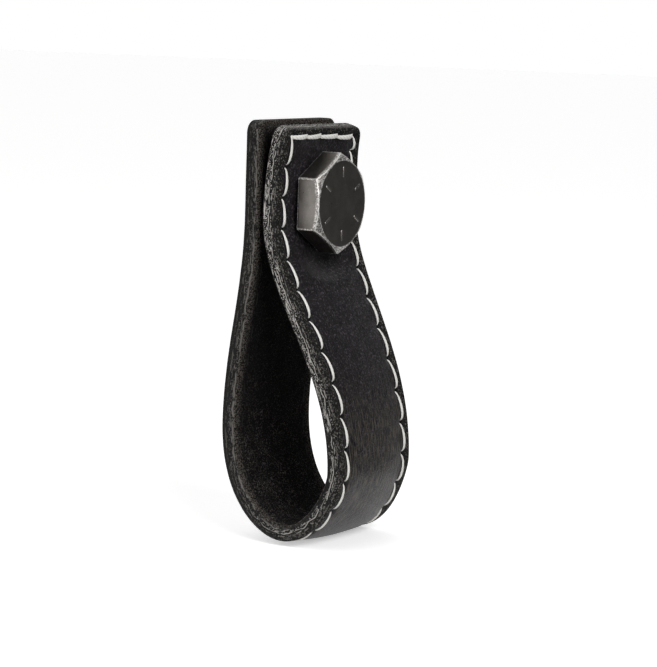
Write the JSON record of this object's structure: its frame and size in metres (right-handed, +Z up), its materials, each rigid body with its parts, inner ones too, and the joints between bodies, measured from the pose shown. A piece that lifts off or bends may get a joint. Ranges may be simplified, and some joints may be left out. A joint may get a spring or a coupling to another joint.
{
  "type": "leather loop cabinet knob",
  "caption": "Black leather strip folded into a hanging loop pull, stitched round its edge and clamped at the top by a hexagon bolt.",
  "frame": {"origin": "on the bolt's axis, in the plane of the strip's back face that meets the door", "axes": "+Z up, +Y towards the door, -Y towards the room, +X along the strip's width"},
  "size_m": [0.0277, 0.0286, 0.0814],
  "materials": {
    "leather": "black dyed, smooth grain outside, fibrous flesh side inside, raw dark grey cut edges",
    "pale_thread": "thick waxed cream thread",
    "dark_thread": "thin black thread",
    "steel": "dark oxidised steel with bright worn edges"
  },
  "bodies": {
    "root": {"leather_strap": "leather", "face_thread": "pale_thread", "lower_thread": "dark_thread", "hex_bolt": "steel"}
  },
  "joints": []
}
